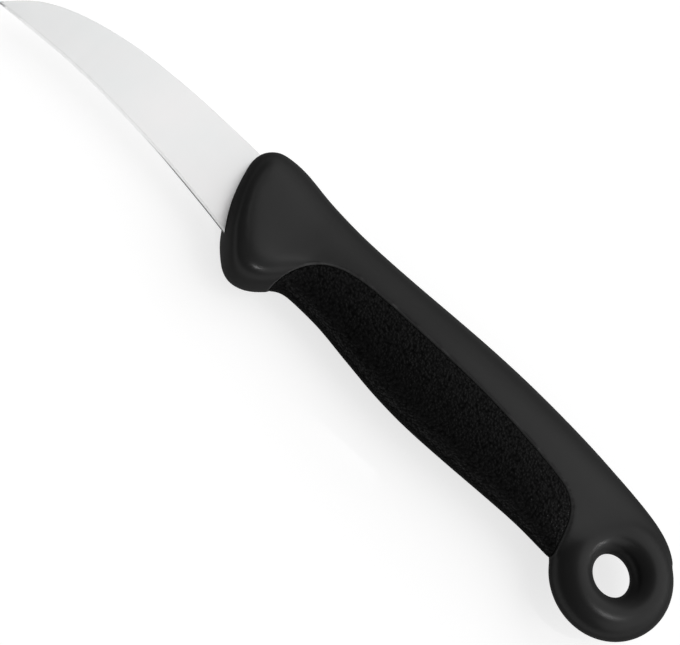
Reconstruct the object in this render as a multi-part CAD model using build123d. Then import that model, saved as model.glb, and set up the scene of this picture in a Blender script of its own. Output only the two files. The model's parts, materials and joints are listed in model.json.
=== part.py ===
from build123d import *
import os
from math import pi, sin

# Paring knife with a curved peeling blade and a two-part moulded handle.
# It lies on its side. X runs from the hanging ring to the point of the blade,
# Y runs from the spine to the cutting edge, and Z is up.
# While it is built, x is 0 at the butt and y is 0 on the line through the hanging hole.
# At the end everything moves, so that the origin is the bottom centre of the whole knife.
# A name that ends in share or shares holds fractions of the size that it is multiplied by.

# Blade
blade_length = 57.5          # from the front of the bolster to the point
blade_width = 17.0           # from the spine to the edge, where the blade leaves the bolster
edge_offset = 6.25           # how far the edge lies there from the line through the hole
blade_stock = 1.6            # thickness of the steel sheet, kept along the spine
point_thickness = 0.5        # what is left of it at the point
shoulder_thickness = 0.30    # where the fine bevel starts
edge_thickness = 0.04
bevel_width = 0.7
spine_ease = 0.22            # small chamfer along the spine
root_depth = 11.0            # how far the full width of the blade runs into the bolster

# Tang, hidden in the handle
tang_length = 68.0
tang_width = 10.0
tang_offset = -4.2           # where its middle line lies
tang_overlap = 1.0           # how far it runs into the root of the blade
tang_hole_radius = 2.4
tang_holes = 3

# Handle
handle_length = 122.7        # from the butt to the front of the bolster
handle_height = 24.0         # from the spine to the belly, at the palm
handle_thickness = 17.4      # at the bolster, where it is thickest
fullness_share = 0.58        # 0.55 makes a section an ellipse, more makes it squarer
guard_belly_share = 0.88     # the same on the belly side of the finger guard
guard_spine_share = 0.65     # the same on the spine side of the finger guard

# Hanging ring
ring_radius = 13.25
ring_thickness = 8.8
crest_radius = 8.3           # where the ring is thickest
hole_radius = 4.5
mouth_overlap = 0.04         # leaves a short straight throat between the round mouths

# Soft grip
grip_wall = 2.6              # how deep the recess for the grip is
grip_sink = 0.25             # how far the grip lies below the hard surface round it

# One overrun for every cut and for the outlines that reach past what they cut
overrun = 10.0

# Side view of the handle: x as a share of its length, y as a share of its height
spine_shares = [
    (0.045, -0.470), (0.078, -0.580), (0.110, -0.630), (0.175, -0.674), (0.260, -0.694),
    (0.354, -0.698), (0.450, -0.688), (0.580, -0.644), (0.711, -0.589), (0.792, -0.570),
    (0.873, -0.584), (0.925, -0.602), (0.955, -0.580), (0.975, -0.539), (0.990, -0.458),
    (1.000, -0.350),
]
belly_shares = [
    (0.045, 0.235), (0.140, 0.260), (0.205, 0.288), (0.255, 0.279), (0.354, 0.300),
    (0.450, 0.340), (0.535, 0.362), (0.640, 0.332), (0.740, 0.280), (0.790, 0.280),
    (0.817, 0.303), (0.832, 0.362), (0.845, 0.428), (0.865, 0.493), (0.888, 0.512),
    (0.905, 0.481), (0.922, 0.413), (0.938, 0.332), (0.956, 0.207), (0.973, 0.061),
    (0.989, -0.140), (1.000, -0.350),
]
# Top view of the handle: x as above, and the half width as a share of the thickness
half_width_shares = [
    (0.045, 0.240), (0.105, 0.242), (0.178, 0.246), (0.215, 0.285), (0.255, 0.350),
    (0.310, 0.415), (0.380, 0.458), (0.460, 0.475), (0.540, 0.470), (0.640, 0.433),
    (0.740, 0.398), (0.795, 0.390), (0.845, 0.405), (0.885, 0.436), (0.915, 0.464),
    (0.940, 0.487), (0.962, 0.500), (0.977, 0.480), (0.989, 0.395), (0.996, 0.255),
    (1.000, 0.000),
]
# How far the sections have turned squarer, along the same x: none at 0, fully at 1
guard_turn_shares = [
    (0.045, 0.000), (0.400, 0.000), (0.700, 0.000), (0.780, 0.150), (0.825, 0.600),
    (0.865, 0.960), (0.895, 1.000), (0.930, 1.000), (0.965, 0.800), (1.000, 0.500),
]
guard_start_share = 0.790    # where the finger guard starts to swell
nose_start_share = 0.885     # where the handle starts to close towards its front end
palm_count = 17
guard_count = 9
nose_count = 9

# Side view of the grip: x as a share of the handle's length, y as a share of its height
grip_shares = [
    (0.831, 0.400), (0.826, 0.230), (0.813, 0.080), (0.789, -0.055), (0.745, -0.150),
    (0.680, -0.188), (0.575, -0.203), (0.461, -0.212), (0.367, -0.196), (0.290, -0.176),
    (0.254, -0.140), (0.232, -0.050), (0.220, 0.065), (0.210, 0.190), (0.199, 0.300),
]

# Side view of the blade: x as a share of its length from the front of the bolster,
# y as a share of its width from where the edge leaves the bolster
blade_spine_shares = [
    (0.000, -1.000), (0.155, -0.987), (0.295, -0.966), (0.435, -0.924), (0.574, -0.855),
    (0.711, -0.734), (0.846, -0.538), (0.911, -0.382), (0.960, -0.196), (0.998, -0.022),
]
blade_edge_shares = [
    (0.000, -0.010), (0.143, -0.062), (0.282, -0.100), (0.420, -0.117), (0.560, -0.124),
    (0.697, -0.109), (0.834, -0.067), (0.930, -0.031), (0.998, -0.004),
]
spine_root_share = -1.000    # the same two curves at the hidden end of the root
edge_root_share = 0.066
blade_count = 16
bevel_limit_share = 0.25     # near the point the bevel and the chamfer narrow to this share


def value_at(curve, x):
    """The y of a curve where it passes the given x, found by halving its parameter."""
    low = 0
    high = 1
    for _ in range(40):
        middle = (low + high) / 2
        if (curve @ middle).X < x:
            low = middle
        else:
            high = middle
    return (curve @ low).Y


def handle_curve(shares, across):
    """A curve along the handle, from shares of its length and of a size across it."""
    return Spline(*[(handle_length * along, across * share) for along, share in shares])


def blade_curve(shares, root_share):
    """A curve along the blade, which starts at the hidden end of its root."""
    points = [(handle_length - root_depth, edge_offset + blade_width * root_share)]
    for along, share in shares:
        points.append((handle_length + blade_length * along, edge_offset + blade_width * share))
    return Spline(*points)


spine = handle_curve(spine_shares, handle_height)
belly = handle_curve(belly_shares, handle_height)
half_width = handle_curve(half_width_shares, handle_thickness)
guard_turn = handle_curve(guard_turn_shares, handle_height)
blade_spine = blade_curve(blade_spine_shares, spine_root_share)
blade_edge = blade_curve(blade_edge_shares, edge_root_share)


def spread(first, last, count):
    """Places at equal steps from first to just before last."""
    return [first + (last - first) * i / count for i in range(count)]


def handle_places():
    """The x of every section of the handle, closest together where it closes at the front."""
    rear = handle_length * spine_shares[0][0]
    guard = handle_length * guard_start_share
    nose = handle_length * nose_start_share
    places = spread(rear, guard, palm_count) + spread(guard, nose, guard_count)
    for turn in spread(0, pi / 2, nose_count):
        places.append(nose + (handle_length - nose) * sin(turn))
    return places


def handle_section(x, inset):
    """A closed section of the handle out of four cubic quarters, moved in by the inset."""
    top = value_at(spine, x) + inset
    bottom = value_at(belly, x) - inset
    side = value_at(half_width, x) - inset
    centre = (top + bottom) / 2
    tall = (bottom - top) / 2
    turn = value_at(guard_turn, x) / handle_height
    belly_share = fullness_share + (guard_belly_share - fullness_share) * turn
    spine_share = fullness_share + (guard_spine_share - fullness_share) * turn
    quarters = []
    for over, up in ((1, 1), (-1, 1), (-1, -1), (1, -1)):
        full = belly_share if over > 0 else spine_share
        points = [
            (x, centre + over * tall, 0),
            (x, centre + over * tall, up * side * full),
            (x, centre + over * tall * full, up * side),
            (x, centre, up * side),
        ]
        if over != up:
            points.reverse()
        quarters.append(Bezier(*points))
    return Wire(quarters)


def outer_hull():
    """The outside of the handle without its ring, closed to a point at the front."""
    sections = [handle_section(x, 0) for x in handle_places()]
    front = Vertex(handle_length, value_at(spine, handle_length), 0)
    return Solid.make_loft(sections + [front])


def inner_hull(inset):
    """The same hull moved in, over the stretch that the grip covers and a little more."""
    rear = handle_length * grip_shares[-1][0] - overrun
    front = handle_length * grip_shares[0][0] + overrun / 2
    places = [x for x in handle_places() if rear < x < front]
    return Solid.make_loft([handle_section(x, inset) for x in places])


def ring_disc():
    """The hanging ring as a disc with a round rim, before its hole is cut."""
    with BuildSketch(Plane.XZ) as profile:
        with Locations((crest_radius / 2, 0)):
            Rectangle(crest_radius, ring_thickness)
        with Locations((crest_radius, 0)):
            Ellipse(ring_radius - crest_radius, ring_thickness / 2)
    return Pos(ring_radius, 0, 0) * revolve(profile.sketch, Axis.Z)


def ring_mouths():
    """What the hanging hole takes away: a straight throat between two round mouths."""
    tall = handle_thickness + overrun
    mouth = crest_radius - hole_radius + mouth_overlap
    with BuildSketch(Plane.XZ) as profile:
        with Locations((crest_radius / 2, 0)):
            Rectangle(crest_radius, tall)
        with Locations((crest_radius, 0)):
            Ellipse(mouth, ring_thickness / 2, mode=Mode.SUBTRACT)
        with Locations((hole_radius / 2, 0)):
            Rectangle(hole_radius, tall)
    return Pos(ring_radius, 0, 0) * revolve(profile.sketch, Axis.Z)


def grip_region():
    """The side view of the grip as a tall prism that reaches past the belly."""
    points = [(handle_length * along, handle_height * share) for along, share in grip_shares]
    below = handle_height
    rest = Polyline(points[-1], (points[-1][0], below), (points[0][0], below), points[0])
    return extrude(make_face([Spline(*points), rest]), handle_thickness, both=True)


def blade_section(x):
    """A section of the blade: chamfered spine, flat sides, fine bevel and edge."""
    top = value_at(blade_spine, x)
    bottom = value_at(blade_edge, x)
    limit = (bottom - top) * bevel_limit_share
    along = max(x - handle_length, 0) / blade_length
    back = (blade_stock + (point_thickness - blade_stock) * along) / 2
    ease = min(spine_ease, limit, back / 2)
    bevel = min(bevel_width, limit)
    corners = [
        (x, top, ease - back),
        (x, top, back - ease),
        (x, top + ease, back),
        (x, bottom - bevel, shoulder_thickness / 2),
        (x, bottom, edge_thickness / 2),
        (x, bottom, -edge_thickness / 2),
        (x, bottom - bevel, -shoulder_thickness / 2),
        (x, top + ease, -back),
    ]
    return Wire.make_polygon(corners, close=True)


def make_blade():
    """The blade with its tang: one flat steel blank, ground thin towards the edge."""
    root = handle_length - root_depth
    point = handle_length + blade_length * blade_spine_shares[-1][0]
    places = [root]
    for turn in spread(0, pi / 2, blade_count):
        places.append(handle_length + (point - handle_length) * sin(turn))
    places.append(point)
    blade = Solid.make_loft([blade_section(x) for x in places])
    reach = tang_length + tang_overlap
    with BuildSketch() as outline:
        with Locations((root + tang_overlap - reach / 2, tang_offset)):
            SlotOverall(reach, tang_width)
        with Locations((root + tang_overlap - tang_width / 2, tang_offset)):
            Rectangle(tang_width, tang_width)
        pitch = tang_length / (tang_holes + 1)
        for i in range(tang_holes):
            with Locations((root - pitch * (i + 1), tang_offset)):
                Circle(tang_hole_radius, mode=Mode.SUBTRACT)
    tang = extrude(outline.sketch, blade_stock / 2, both=True)
    return blade + tang


def make_handle_body(blade):
    """The hard body: bolster, spine, core and ring, moulded round the tang."""
    core = inner_hull(grip_wall)
    recess = grip_region() - core
    return outer_hull() + ring_disc() - recess - ring_mouths() - blade


def make_grip():
    """The soft grip, which lies in the recess on both sides and round the belly."""
    return (inner_hull(grip_sink) & grip_region()) - inner_hull(grip_wall)


blade = make_blade()
pieces = {
    "blade": blade,
    "handle_body": make_handle_body(blade),
    "grip_inlay": make_grip(),
}

whole = Compound(list(pieces.values())).bounding_box()
origin = Vector((whole.min.X + whole.max.X) / 2, (whole.min.Y + whole.max.Y) / 2, whole.min.Z)
os.makedirs("parts", exist_ok=True)
for name, piece in pieces.items():
    placed = piece.moved(Location(-origin))
    export_step(placed, f"parts/{name}.step")
    print(name, len(placed.solids()), "solid, volume", round(placed.volume), "mm3")
hole_place = Vector(ring_radius, 0, 0) - origin
print("hanging hole at", [round(value, 3) for value in hole_place])
print("size", [round(value, 2) for value in whole.size])
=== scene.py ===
# %% [markdown]
# # A paring knife on a white table
# The knife has three pieces: a satin steel blade, a hard dark grey handle body with a ring
# to hang it by, and a black soft grip that lies in a recess of the body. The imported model
# gives their real sizes. This script gives them their finish, softens the moulded shapes,
# and sets up the floor, the light and the camera of the product picture.

# %% Load the knife
import json
import math
import bmesh
import bpy
from mathutils import Matrix, Quaternion, Vector
from mathutils.bvhtree import BVHTree


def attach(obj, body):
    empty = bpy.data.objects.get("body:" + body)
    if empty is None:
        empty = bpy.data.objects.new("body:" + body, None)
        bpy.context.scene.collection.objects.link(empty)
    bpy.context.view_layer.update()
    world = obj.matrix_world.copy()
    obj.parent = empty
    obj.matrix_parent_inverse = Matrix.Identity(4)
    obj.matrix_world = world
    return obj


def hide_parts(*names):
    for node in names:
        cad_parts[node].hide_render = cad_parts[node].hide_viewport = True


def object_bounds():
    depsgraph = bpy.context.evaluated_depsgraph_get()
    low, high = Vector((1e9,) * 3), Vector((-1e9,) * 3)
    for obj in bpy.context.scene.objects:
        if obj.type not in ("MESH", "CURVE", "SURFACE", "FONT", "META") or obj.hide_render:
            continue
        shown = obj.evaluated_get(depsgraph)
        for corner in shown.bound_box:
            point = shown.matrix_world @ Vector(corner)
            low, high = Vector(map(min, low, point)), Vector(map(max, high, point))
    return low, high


MM = 0.001
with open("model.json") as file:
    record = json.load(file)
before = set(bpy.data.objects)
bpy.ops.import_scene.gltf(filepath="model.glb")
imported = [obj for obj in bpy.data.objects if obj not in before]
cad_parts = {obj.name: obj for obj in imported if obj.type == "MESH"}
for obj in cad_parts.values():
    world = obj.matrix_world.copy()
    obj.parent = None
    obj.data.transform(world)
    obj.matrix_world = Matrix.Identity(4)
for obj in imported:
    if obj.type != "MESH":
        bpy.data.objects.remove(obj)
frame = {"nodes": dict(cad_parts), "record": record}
cad_low, cad_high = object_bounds()
cad_middle = (cad_low + cad_high) / 2
hole_place = Vector(frame["record"]["mounts"][0]["pos_m"])
print("pieces:", sorted(frame["nodes"]), "length in mm:", round((cad_high - cad_low).x / MM, 1))

# %% [markdown]
# ## The camera
# The picture was taken from above, leaning about 25 degrees towards the belly of the knife,
# so the ring's hole looks narrower one way than the other. The camera is turned until the
# blade points to the upper left corner. The focal length follows from the distance and from
# how many millimetres of the knife one pixel shows.

# %% Camera at the picture's angle
picture_width = 680
pixel_size = 0.199 * MM
camera_distance = 410 * MM
camera_lean = math.radians(24.5)
hole_to_centre = Vector((74.0, 2.8, 0)) * MM
sensor_width = 36.0

picture_centre = hole_place + hole_to_centre
along = Vector((1, 0, 0))
across = Vector((0, math.cos(camera_lean), -math.sin(camera_lean)))
back = along.cross(across)
right = -(along + across).normalized()
up = (along - across).normalized()


def add_camera():
    """A camera whose sideways and upward directions lie at 45 degrees to the knife."""
    data = bpy.data.cameras.new("picture_camera")
    data.sensor_width = sensor_width
    data.lens = sensor_width * camera_distance / pixel_size / picture_width
    camera = bpy.data.objects.new("picture_camera", data)
    bpy.context.scene.collection.objects.link(camera)
    turn = Matrix((right, up, back)).transposed().to_4x4()
    camera.matrix_world = Matrix.Translation(picture_centre + back * camera_distance) @ turn
    bpy.context.scene.camera = camera
    return camera


camera = add_camera()
print("lens in mm:", round(camera.data.lens, 1))

# %% [markdown]
# ## Small helpers for materials
# A shader is a graph of nodes, and most steps are the same: add a node, set some of its
# sockets, link it. These helpers keep each material's own cell short. A Mix node has
# sockets for numbers, vectors and colours under the same names, so its colour sockets are
# picked by their position.

# %% Helpers for shader nodes
first_colour = 6
second_colour = 7
mixed_colour = 2


def add_node(tree, kind, settings=None, inputs=None):
    """A node of a kind, with its settings and with values or links for its inputs."""
    node = tree.nodes.new(kind)
    for name, value in (settings or {}).items():
        setattr(node, name, value)
    for name, value in (inputs or {}).items():
        if isinstance(value, bpy.types.NodeSocket):
            tree.links.new(value, node.inputs[name])
        else:
            node.inputs[name].default_value = value
    return node


def new_material(name):
    """An empty node material with its output, ready for a shader."""
    material = bpy.data.materials.new(name)
    material.use_nodes = True
    material.node_tree.nodes.clear()
    output = material.node_tree.nodes.new("ShaderNodeOutputMaterial")
    return material, material.node_tree, output


def grey(value):
    """A neutral colour with full alpha."""
    return (value, value, value, 1)


def mix_colours(tree, mask, first, second):
    """A colour that runs from the first one to the second with a mask."""
    mix = add_node(tree, "ShaderNodeMix", {"data_type": "RGBA"},
                   {"Factor": mask, first_colour: first, second_colour: second})
    return mix.outputs[mixed_colour]


def value_between(tree, mask, low, high):
    """A number that runs from low to high with a mask."""
    return add_node(tree, "ShaderNodeMapRange", None,
                    {"Value": mask, "To Min": low, "To Max": high}).outputs[0]


# %% [markdown]
# ## A node group for moulded surfaces
# Both plastics come out of a mould, so both show a fine grain and slow, faint changes of
# shade and gloss. One group makes these three effects from the object's own coordinates.
# Each material places it with its own grain size, so the hard body gets a silk finish and
# the grip a coarse one.

# %% Node group: moulded grain


def moulded_grain_group():
    """Height of the grain, a mask of its valleys, and a slow change of shade."""
    group = bpy.data.node_groups.new("moulded_grain", "ShaderNodeTree")
    face = group.interface
    for name, usual in (("Grain Size", 0.3 * MM), ("Patch Size", 12 * MM)):
        socket = face.new_socket(name, in_out="INPUT", socket_type="NodeSocketFloat")
        socket.default_value = usual
    for name in ("Height", "Valleys", "Shade"):
        face.new_socket(name, in_out="OUTPUT", socket_type="NodeSocketFloat")
    start = group.nodes.new("NodeGroupInput")
    place = group.nodes.new("ShaderNodeTexCoord").outputs["Object"]

    def per_size(name):
        return add_node(group, "ShaderNodeMath", {"operation": "DIVIDE"},
                        {0: 1.0, 1: start.outputs[name]}).outputs[0]

    cells = add_node(group, "ShaderNodeTexVoronoi", {"feature": "SMOOTH_F1"},
                     {"Vector": place, "Scale": per_size("Grain Size"), "Smoothness": 0.6})
    noise = add_node(group, "ShaderNodeTexNoise", None,
                     {"Vector": place, "Scale": per_size("Grain Size"), "Detail": 2.0})
    slow = add_node(group, "ShaderNodeTexNoise", None,
                    {"Vector": place, "Scale": per_size("Patch Size"), "Detail": 3.0})
    domes = add_node(group, "ShaderNodeMath", {"operation": "SUBTRACT"},
                     {0: noise.outputs["Fac"], 1: cells.outputs["Distance"]})
    valleys = add_node(group, "ShaderNodeMapRange", None,
                       {"Value": domes.outputs[0], "From Min": -0.35, "From Max": 0.35})
    end = group.nodes.new("NodeGroupOutput")
    group.links.new(domes.outputs[0], end.inputs["Height"])
    group.links.new(valleys.outputs[0], end.inputs["Valleys"])
    group.links.new(slow.outputs["Fac"], end.inputs["Shade"])
    return group


def place_grain(tree, grain_size, patch_size):
    """The moulded grain group in a material, at its own scale."""
    node = tree.nodes.new("ShaderNodeGroup")
    node.node_tree = moulded_grain
    node.inputs["Grain Size"].default_value = grain_size
    node.inputs["Patch Size"].default_value = patch_size
    return node


moulded_grain = moulded_grain_group()
print("group sockets:", [item.name for item in moulded_grain.interface.items_tree])

# %% [markdown]
# ## Gloss that fades towards the outline
# A grained surface scatters light that grazes it, so a moulded handle has no bright rim
# where it turns away from the eye. The roughness could stay the same all over, but then the
# white floor would mirror in that rim. Layer Weight tells how far the surface has turned
# away, and the roughness grows with it.

# %% Helper: more scatter near the outline


def scatter_to_outline(tree, roughness, start, end, gain):
    """A roughness that grows where the surface turns away from the eye."""
    facing = tree.nodes.new("ShaderNodeLayerWeight").outputs["Facing"]
    scatter = add_node(tree, "ShaderNodeMapRange", {"interpolation_type": "SMOOTHSTEP"}, {
        "Value": facing, "From Min": start, "From Max": end, "To Min": 0.0, "To Max": gain})
    return add_node(tree, "ShaderNodeMath", {"operation": "ADD"},
                    {0: roughness, 1: scatter.outputs[0]}).outputs[0]


# %% [markdown]
# ## The hard handle plastic
# The body is a smooth, semi-matt polypropylene in dark grey. It shows broad soft
# reflections, slightly uneven gloss from handling, and a grain so fine that it only
# breaks up the highlights. The thin lip round the grip carries a painted highlight: it is
# painted lighter where its rounded edge catches the light. Its mask is stored on the mesh
# further down.

# %% Material: dark grey handle plastic
handle_dark = grey(0.0125)
handle_light = grey(0.0175)
# Painted highlight: the lip's lighter colour stands in for its rounded edge catching the light.
painted_lip_highlight = grey(0.055)


def handle_plastic_material():
    """Dark grey moulded plastic with a silk gloss."""
    material, tree, output = new_material("handle_plastic")
    grain = place_grain(tree, grain_size=0.16 * MM, patch_size=9 * MM)
    bump = add_node(tree, "ShaderNodeBump", None,
                    {"Strength": 0.12, "Distance": 0.02 * MM, "Height": grain.outputs["Height"]})
    # The lip mask mixes in the painted highlight along the lip.
    lip = add_node(tree, "ShaderNodeAttribute", {"attribute_name": "lip_highlight_mask"})
    body_colour = mix_colours(tree, grain.outputs["Shade"], handle_dark, handle_light)
    gloss = value_between(tree, grain.outputs["Shade"], low=0.26, high=0.33)
    shader = add_node(tree, "ShaderNodeBsdfPrincipled", None, {
        "Base Color": mix_colours(tree, lip.outputs["Fac"], body_colour, painted_lip_highlight),
        "Roughness": scatter_to_outline(tree, gloss, start=0.14, end=0.55, gain=0.58),
        "Specular IOR Level": 0.15,
        "Normal": bump.outputs[0],
    })
    tree.links.new(shader.outputs[0], output.inputs["Surface"])
    return material


handle_plastic = handle_plastic_material()
print(handle_plastic.name, "has", len(handle_plastic.node_tree.nodes), "nodes")

# %% [markdown]
# ## The soft grip
# The grip is a black thermoplastic rubber with a coarse leather-like grain, so wet hands
# don't slip. The tops of the grain are glossier and catch small glints. Their colour is
# also painted a little lighter, a painted highlight, and the valleys are painted pure black,
# a painted shade.

# %% Material: black grained grip
# Painted light on the grain: a painted highlight on the tops and a painted shade, pure black, in
# the valleys.
grip_black = grey(0.0005)
grip_tops_painted_highlight = grey(0.0060)


def grip_rubber_material():
    """Black rubber with a deep fine grain."""
    material, tree, output = new_material("grip_rubber")
    grain = place_grain(tree, grain_size=0.54 * MM, patch_size=7 * MM)
    bump = add_node(tree, "ShaderNodeBump", None,
                    {"Strength": 1.0, "Distance": 0.20 * MM, "Height": grain.outputs["Height"]})
    gloss = value_between(tree, grain.outputs["Valleys"], low=0.85, high=0.36)
    # The base colour carries the painted highlight and painted shade of the grain.
    shader = add_node(tree, "ShaderNodeBsdfPrincipled", None, {
        "Base Color": mix_colours(tree, grain.outputs["Valleys"], grip_black, grip_tops_painted_highlight),
        "Roughness": scatter_to_outline(tree, gloss, start=0.25, end=0.60, gain=0.60),
        "Specular IOR Level": 0.070,
        "Normal": bump.outputs[0],
    })
    tree.links.new(shader.outputs[0], output.inputs["Surface"])
    return material


grip_rubber = grip_rubber_material()
print(grip_rubber.name, "has", len(grip_rubber.node_tree.nodes), "nodes")

# %% [markdown]
# ## The blade steel
# The blade is ground on fine wheels, which leaves a satin face with faint lines across it.
# The lines are noise that is stretched across the blade and squeezed along it. They change
# the roughness and the normal a little, so the steel stays nearly white but isn't flat.
# The bevel along the edge is honed, which makes it a little rougher than the sides. Its
# colour is painted brighter than the sides, a painted reflection, so it stays light where it
# mirrors the dark side of the studio. Near the heel, its outermost part is painted as a fine
# dark line, a painted shade. Both masks come from the attribute edge_bevel, which grows
# from 0 at the top of the bevel to 1 at the edge.

# %% Material: satin blade steel
line_spacing = 0.12 * MM
line_length = 14 * MM
line_turn = math.radians(-8)
cloud_size = 16 * MM
cool_steel = (0.745, 0.765, 0.765, 1)
warm_steel = (0.805, 0.790, 0.790, 1)
# Painted reflection: the bevel is painted brighter so it stays light where it mirrors the dark
# side of the studio.
bevel_painted_reflection = grey(0.96)
# Painted shade: a fine dark line on the outermost bevel near the heel.
edge_painted_shade = grey(0.12)
heel_x = hole_place.x + 114.8 * MM
dark_line_length = 16 * MM


def mask_of(tree, value, start, end):
    """A mask that runs from 0 at the start value to 1 at the end value."""
    return add_node(tree, "ShaderNodeMapRange", None,
                    {"Value": value, "From Min": start, "From Max": end}).outputs[0]


def painted_edge_shade_mask(tree, bevel, place):
    """A mask of the painted shade line: the outermost bevel, near the heel only."""
    x = add_node(tree, "ShaderNodeSeparateXYZ", None, {"Vector": place}).outputs["X"]
    near_heel = add_node(tree, "ShaderNodeMapRange", {"interpolation_type": "SMOOTHSTEP"}, {
        "Value": x, "From Min": heel_x + dark_line_length, "From Max": heel_x})
    return add_node(tree, "ShaderNodeMath", {"operation": "MULTIPLY"}, {
        0: mask_of(tree, bevel, start=0.55, end=0.88), 1: near_heel.outputs[0]}).outputs[0]


def blade_steel_material():
    """Satin stainless steel with fine grinding lines, a honed bevel with a painted reflection,
    and a painted shade line near the heel.
    """
    material, tree, output = new_material("blade_steel")
    place = tree.nodes.new("ShaderNodeTexCoord").outputs["Object"]
    turned = add_node(tree, "ShaderNodeMapping", None,
                      {"Vector": place, "Rotation": (0, 0, line_turn),
                       "Scale": (1 / line_spacing, 1 / line_length, 1 / line_length)})
    lines = add_node(tree, "ShaderNodeTexNoise", None,
                     {"Vector": turned.outputs[0], "Scale": 1.0, "Detail": 4.0})
    clouds = add_node(tree, "ShaderNodeTexNoise", None,
                      {"Vector": place, "Scale": 1 / cloud_size, "Detail": 2.0})
    bump = add_node(tree, "ShaderNodeBump", None,
                    {"Strength": 0.10, "Distance": 0.01 * MM, "Height": lines.outputs["Fac"]})
    bevel = add_node(tree, "ShaderNodeAttribute", {"attribute_name": "edge_bevel"}).outputs["Fac"]
    bevel_mask = mask_of(tree, bevel, start=0.1, end=0.5)
    satin = mix_colours(tree, clouds.outputs["Fac"], cool_steel, warm_steel)
    # The bevel's brighter colour is a painted reflection.
    bright = mix_colours(tree, bevel_mask, satin, bevel_painted_reflection)
    gloss = value_between(tree, lines.outputs["Fac"], low=0.28, high=0.42)
    roughness = add_node(tree, "ShaderNodeMath", {"operation": "MULTIPLY_ADD"},
                         {0: bevel_mask, 1: 0.04, 2: gloss})
    # The base colour also carries the painted shade line near the heel.
    shader = add_node(tree, "ShaderNodeBsdfPrincipled", None, {
        "Base Color": mix_colours(tree, painted_edge_shade_mask(tree, bevel, place), bright, edge_painted_shade),
        "Metallic": 1.0,
        "Roughness": roughness.outputs[0],
        "Normal": bump.outputs[0],
    })
    tree.links.new(shader.outputs[0], output.inputs["Surface"])
    return material


blade_steel = blade_steel_material()
print(blade_steel.name, "has", len(blade_steel.node_tree.nodes), "nodes")

# %% [markdown]
# ## The blade
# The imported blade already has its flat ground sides, its fine edge bevel and its chamfered
# spine. A merged copy of it keeps that shape and its crisp edges. The faces of the bevel
# lean towards the edge by more than the sides do. Their corners at the edge get the value 1
# in the attribute edge_bevel, and all other corners 0, so the steel can tell the bevel from
# the sides.

# %% Blade: a copy whose edge bevel is marked
merge_distance = 0.001 * MM
least_bevel_lean = math.radians(6)
edge_half_thickness = 0.05 * MM


def dress(piece, material):
    """Gives a piece one material and nothing else."""
    piece.data.materials.clear()
    piece.data.materials.append(material)


def merged_copy(node, name):
    """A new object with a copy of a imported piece, its loose triangles joined."""
    mesh = frame["nodes"][node].data.copy()
    build = bmesh.new()
    build.from_mesh(mesh)
    bmesh.ops.remove_doubles(build, verts=build.verts, dist=merge_distance)
    build.to_mesh(mesh)
    build.free()
    piece = bpy.data.objects.new(name, mesh)
    bpy.context.scene.collection.objects.link(piece)
    return piece


def mark_bevel(piece):
    """Marks the corners at the edge of all bevel faces, and counts those faces."""
    build = bmesh.new()
    build.from_mesh(piece.data)
    layer = build.loops.layers.float.new("edge_bevel")
    marked = 0
    for face in build.faces:
        face.smooth = False
        is_bevel = face.normal.y > math.sin(least_bevel_lean)
        marked += is_bevel
        for corner in face.loops:
            at_edge = abs(corner.vert.co.z - cad_middle.z) < edge_half_thickness
            corner[layer] = float(is_bevel and at_edge)
    build.to_mesh(piece.data)
    build.free()
    return marked


blade_skin = merged_copy("blade", "blade_skin")
bevel_faces = mark_bevel(blade_skin)
dress(blade_skin, blade_steel)
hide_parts("blade")
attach(blade_skin, "root")
print("blade faces:", len(blade_skin.data.polygons), "of which bevel:", bevel_faces)

# %% [markdown]
# ## Softening the moulded pieces
# Real mouldings have no sharp edges: the ring flows into the handle, and the recess ends in
# a small rounded lip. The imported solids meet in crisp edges. A Bevel modifier would stumble
# over their long thin triangles. Instead, a copy of each is merged, rebuilt out of small
# even faces, and its vertices are smoothed a few times. That rounds every edge to a few
# tenths of a millimetre and leaves the large shapes where they were.
#
# Many rounds of smoothing fill a hollow crease, but also wear off what bulges. So after
# those rounds a vertex keeps only its outward move. A few more rounds then blend the fill.

# %% Helpers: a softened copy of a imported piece
crease_rounds_per_blend = 7


def smooth_rounds(build, wanted):
    """Smooths every vertex as many times as its entry in the list says."""
    done = 0
    while done < max(wanted):
        verts = [vert for vert, count in zip(build.verts, wanted) if count > done]
        bmesh.ops.smooth_vert(build, verts=verts, factor=0.5,
                              use_axis_x=True, use_axis_y=True, use_axis_z=True)
        done += 1


def fill_creases(build, rounds_at):
    """Fills hollow creases by many rounds of smoothing, without wearing off what bulges."""
    build.normal_update()
    before = [(vert.co.copy(), vert.normal.copy()) for vert in build.verts]
    smooth_rounds(build, [rounds_at(vert.co) for vert in build.verts])
    for vert, (place, normal) in zip(build.verts, before):
        vert.co = place + normal * max((vert.co - place).dot(normal), 0)


def even_faces(piece, face_size):
    """The mesh of a piece, rebuilt out of small even faces."""
    remesh = piece.modifiers.new("even_faces", "REMESH")
    remesh.mode = "VOXEL"
    remesh.voxel_size = face_size
    shaped = piece.evaluated_get(bpy.context.evaluated_depsgraph_get())
    mesh = bpy.data.meshes.new_from_object(shaped)
    piece.modifiers.clear()
    return mesh


def softened_copy(node, name, face_size, rounds, crease_rounds=None):
    """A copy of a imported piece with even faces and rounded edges."""
    piece = merged_copy(node, name)
    piece.data = even_faces(piece, face_size)
    build = bmesh.new()
    build.from_mesh(piece.data)
    wanted = [rounds] * len(build.verts)
    if crease_rounds:
        fill_creases(build, crease_rounds)
        wanted = [rounds + crease_rounds(vert.co) // crease_rounds_per_blend
                  for vert in build.verts]
    smooth_rounds(build, wanted)
    for face in build.faces:
        face.smooth = True
    build.to_mesh(piece.data)
    build.free()
    return piece


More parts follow.
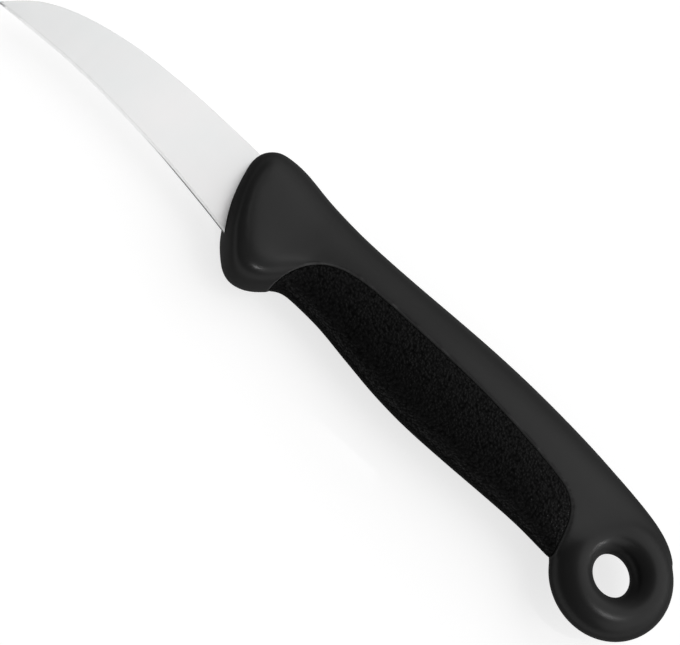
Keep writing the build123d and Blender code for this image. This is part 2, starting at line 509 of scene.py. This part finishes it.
# %% [markdown]
# ## The handle body
# Bolster, finger guard, spine and ring are one moulding. The copy keeps the recess under
# the grip, so the grip still lies in it. Where the ring leaves the handle, the moulding
# flows without a crease, so the hollow there is filled. The rounds of smoothing fade out
# towards the ring's hole, along the handle, and round the ring.

# %% Handle body
junction_rounds = 57
hole_side = (6.5 * MM, 9.5 * MM)
handle_side = (15 * MM, 20 * MM)
far_side = (-5 * MM, 2 * MM)


def fade(value, start, end):
    """A soft step from 0 at the start to 1 at the end."""
    part = min(max((value - start) / (end - start), 0), 1)
    return part * part * (3 - 2 * part)


def ring_junction(place):
    """How many rounds fill the crease where the ring leaves the handle."""
    offset = place - hole_place
    reach = math.hypot(offset.x, offset.y)
    near = fade(reach, *hole_side) * (1 - fade(reach, *handle_side))
    return junction_rounds * near * fade(offset.x, *far_side)


handle_shell = softened_copy("handle_body", "handle_shell", face_size=0.355 * MM, rounds=3,
                             crease_rounds=ring_junction)
dress(handle_shell, handle_plastic)
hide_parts("handle_body")
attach(handle_shell, "root")
print("handle faces:", len(handle_shell.data.polygons))

# %% [markdown]
# ## The grip
# The grip is one soft piece that fills the recess and goes round the belly. Its rim is thin,
# so its faces are smaller and it is smoothed less. It has no crease to fill.

# %% Soft grip
grip_skin = softened_copy("grip_inlay", "grip_skin", face_size=0.25 * MM, rounds=2)
dress(grip_skin, grip_rubber)
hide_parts("grip_inlay")
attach(grip_skin, "root")
print("grip faces:", len(grip_skin.data.polygons))

# %% [markdown]
# ## The lip round the grip
# The body's edge along the recess stands a little above the grip, and its rounded edge
# catches the light. That highlight is painted: the lip is coloured lighter. Painting that
# mask by hand would be slow and uneven. Here every vertex of the body gets its mask value
# from its distance to the grip.

# %% Mask of the lip
lip_width = 0.7 * MM
full_lip_width = 0.4 * lip_width


def mark_lip(piece, neighbour):
    """Stores a value on a piece that grows from 0 to 1 as it gets near its neighbour."""
    mesh = neighbour.data
    tree = BVHTree.FromPolygons([vert.co for vert in mesh.vertices],
                                [face.vertices for face in mesh.polygons])
    # This mask places the painted highlight along the lip.
    mask = piece.data.attributes.new("lip_highlight_mask", "FLOAT", "POINT")
    marked = 0
    for vert in piece.data.vertices:
        hit = tree.find_nearest(vert.co, lip_width)
        gap = hit[3] if hit[0] is not None else lip_width
        mask.data[vert.index].value = 1 - fade(gap, full_lip_width, lip_width)
        marked += gap < lip_width
    return marked


print("vertices of the lip:", mark_lip(handle_shell, grip_skin))

# %% [markdown]
# ## The floor
# The product picture is cut out on white. The floor is a large white sheet. For the camera,
# for reflections and through clear things it gets a little extra glow, so it renders white
# where the lamps reach it, while the knife's shadow stays visible.

# %% White floor
floor_half_width = 1.5
paper_grey = grey(0.42)
paper_glow = 0.72


def floor_material():
    """White paper that glows a little, but lights nothing by it."""
    material, tree, output = new_material("white_floor")
    path = tree.nodes.new("ShaderNodeLightPath")
    seen = path.outputs["Is Camera Ray"]
    for name in ("Is Glossy Ray", "Is Transmission Ray"):
        seen = add_node(tree, "ShaderNodeMath", {"operation": "MAXIMUM"},
                        {0: seen, 1: path.outputs[name]}).outputs[0]
    glow = add_node(tree, "ShaderNodeMath", {"operation": "MULTIPLY"}, {0: seen, 1: paper_glow})
    shader = add_node(tree, "ShaderNodeBsdfPrincipled", None, {
        "Base Color": paper_grey,
        "Roughness": 0.9,
        "Specular IOR Level": 0.0,
        "Emission Color": grey(1.0),
        "Emission Strength": glow.outputs[0],
    })
    tree.links.new(shader.outputs[0], output.inputs["Surface"])
    return material


def add_floor():
    """A large flat sheet that the knife lies on."""
    mesh = bpy.data.meshes.new("floor")
    build = bmesh.new()
    bmesh.ops.create_grid(build, x_segments=1, y_segments=1, size=floor_half_width)
    build.to_mesh(mesh)
    build.free()
    floor = bpy.data.objects.new("floor", mesh)
    bpy.context.scene.collection.objects.link(floor)
    dress(floor, floor_material())
    return floor


floor = add_floor()
print("floor width in m:", round(floor.dimensions.x, 2))

# %% [markdown]
# ## The soft boxes
# The knife is lit as in a product studio. A large soft box stands high on the right of the
# picture and gives the handle its broad sheen. It could be one small hard lamp, but then
# the moulded shapes would show only a spot. A smaller soft box at the foot of the picture
# lights the surfaces that lean that way.

# %% Soft boxes


def add_lamp(name, kind, power, place, direction, turn=0.0):
    """A lamp at a place, which shines back along its direction, turned about that line."""
    lamp = bpy.data.objects.new(name, bpy.data.lights.new(name, kind))
    bpy.context.scene.collection.objects.link(lamp)
    lamp.data.energy = power
    lamp.location = place
    lamp.rotation_mode = "QUATERNION"
    facing = direction.to_track_quat("Z", "Y")
    lamp.rotation_quaternion = facing @ Quaternion((0, 0, 1), turn)
    return lamp


def add_soft_box(name, power, direction, distance, width, turn):
    """A square soft lamp that faces the middle of the knife from a direction."""
    place = cad_middle + direction.normalized() * distance
    lamp = add_lamp(name, "AREA", power, place, direction, turn)
    lamp.data.size = width
    return lamp


soft_boxes = [
    add_soft_box("soft_box", power=27.5, direction=Vector((-0.525, -0.525, 0.669)),
                 distance=2.0, width=2.8, turn=math.radians(45)),
    add_soft_box("low_box", power=1.2, direction=Vector((-0.74, 0.36, 0.57)),
                 distance=1.0, width=0.6, turn=0.0),
]
print("soft boxes:", [lamp.name for lamp in soft_boxes])

# %% [markdown]
# ## The blade's lamps
# Flat steel shows what it mirrors, and here that would be a dark part of the studio. So a
# round lamp stands where the sides of the blade mirror it to the camera, and a second one
# where the bevel does. Both directions follow from the camera and from the surface's normal.
# Each lamp's cone is narrow, so it hardly reaches the handle.

# %% Lamps that the blade mirrors
spot_distance = 400 * MM
bevel_lean = math.radians(10.5)
side_normal = Vector((0, 0, 1))
bevel_normal = Vector((0, math.sin(bevel_lean), math.cos(bevel_lean)))
blade_place = hole_place + Vector((158, 0, -4)) * MM


def add_spot(name, power, target, direction, radius, cone, blend):
    """A round lamp whose cone, in degrees, lights the knife round its target."""
    place = target + direction.normalized() * spot_distance
    lamp = add_lamp(name, "SPOT", power, place, direction)
    lamp.data.shadow_soft_size = radius
    lamp.data.spot_size = math.radians(cone)
    lamp.data.spot_blend = blend
    return lamp


def mirrored_eye(place, normal):
    """The direction whose light a surface with this normal mirrors to the camera."""
    to_eye = (camera.matrix_world.translation - place).normalized()
    return 2 * to_eye.dot(normal) * normal - to_eye


blade_lamps = [
    add_spot(name, power, blade_place, mirrored_eye(blade_place, normal),
             radius=90 * MM, cone=19, blend=0.5)
    for name, power, normal in (("blade_lamp", 0.45, side_normal),
                                ("bevel_lamp", 0.61, bevel_normal))]
print("blade lamps:", [lamp.name for lamp in blade_lamps])

# %% [markdown]
# ## The handle's highlights
# The picture shows three small glints: one at the foot of the finger guard and two on the
# ring, on either side of its hole. Each comes from a small spot that stands where the
# curved plastic mirrors it to the camera there. A wider spot lifts the face of the guard.

# %% Spots for the highlights
handle_spots = [
    add_spot("guard_spot", 1.35, hole_place + Vector((93.0, 9.8, 6.0)) * MM,
             Vector((-0.486, 0.557, 0.666)), radius=3 * MM, cone=2.4, blend=0.9),
    add_spot("guard_fill", 0.28, hole_place + Vector((94, 3, 8)) * MM,
             Vector((-0.32, -0.18, 0.93)), radius=30 * MM, cone=9, blend=0.9),
    add_spot("ring_spot", 2.9, hole_place + Vector((6.4, -1.1, 3.9)) * MM,
             Vector((-0.901, -0.291, 0.306)), radius=3 * MM, cone=2.0, blend=0.9),
    add_spot("rim_spot", 1.1, hole_place + Vector((-3.6, 8.7, 4.3)) * MM,
             Vector((-0.332, -0.049, 0.940)), radius=3 * MM, cone=2.0, blend=0.9),
]
print("handle spots:", [lamp.name for lamp in handle_spots])

# %% [markdown]
# ## The surroundings
# The handle has a dark band along every surface that faces the left of the picture, so the
# studio is dark on that side. An even white world would take that band away. Here the
# world's strength falls softly towards the left.

# %% World


def set_world(bright, dark, dark_side, fade_start, fade_end):
    """A bright surrounding that turns dark towards one side."""
    world = bpy.data.worlds.new("studio")
    bpy.context.scene.world = world
    world.use_nodes = True
    tree = world.node_tree
    direction = tree.nodes.new("ShaderNodeTexCoord").outputs["Generated"]
    lean = add_node(tree, "ShaderNodeVectorMath", {"operation": "DOT_PRODUCT"},
                    {0: direction, 1: dark_side.normalized()})
    strength = add_node(tree, "ShaderNodeMapRange", {"interpolation_type": "SMOOTHSTEP"}, {
        "Value": lean.outputs["Value"], "From Min": fade_start, "From Max": fade_end,
        "To Min": bright, "To Max": dark})
    background = tree.nodes["Background"]
    background.inputs["Color"].default_value = grey(1.0)
    tree.links.new(strength.outputs[0], background.inputs["Strength"])
    return world


world = set_world(bright=0.62, dark=0.20, dark_side=Vector((1, 1, 0)),
                  fade_start=-0.45, fade_end=0.05)
print("world:", world.name)

# %% [markdown]
# ## Colour
# The Standard view keeps colours as they are written.

# %% Finish
bpy.context.scene.view_settings.view_transform = "Standard"
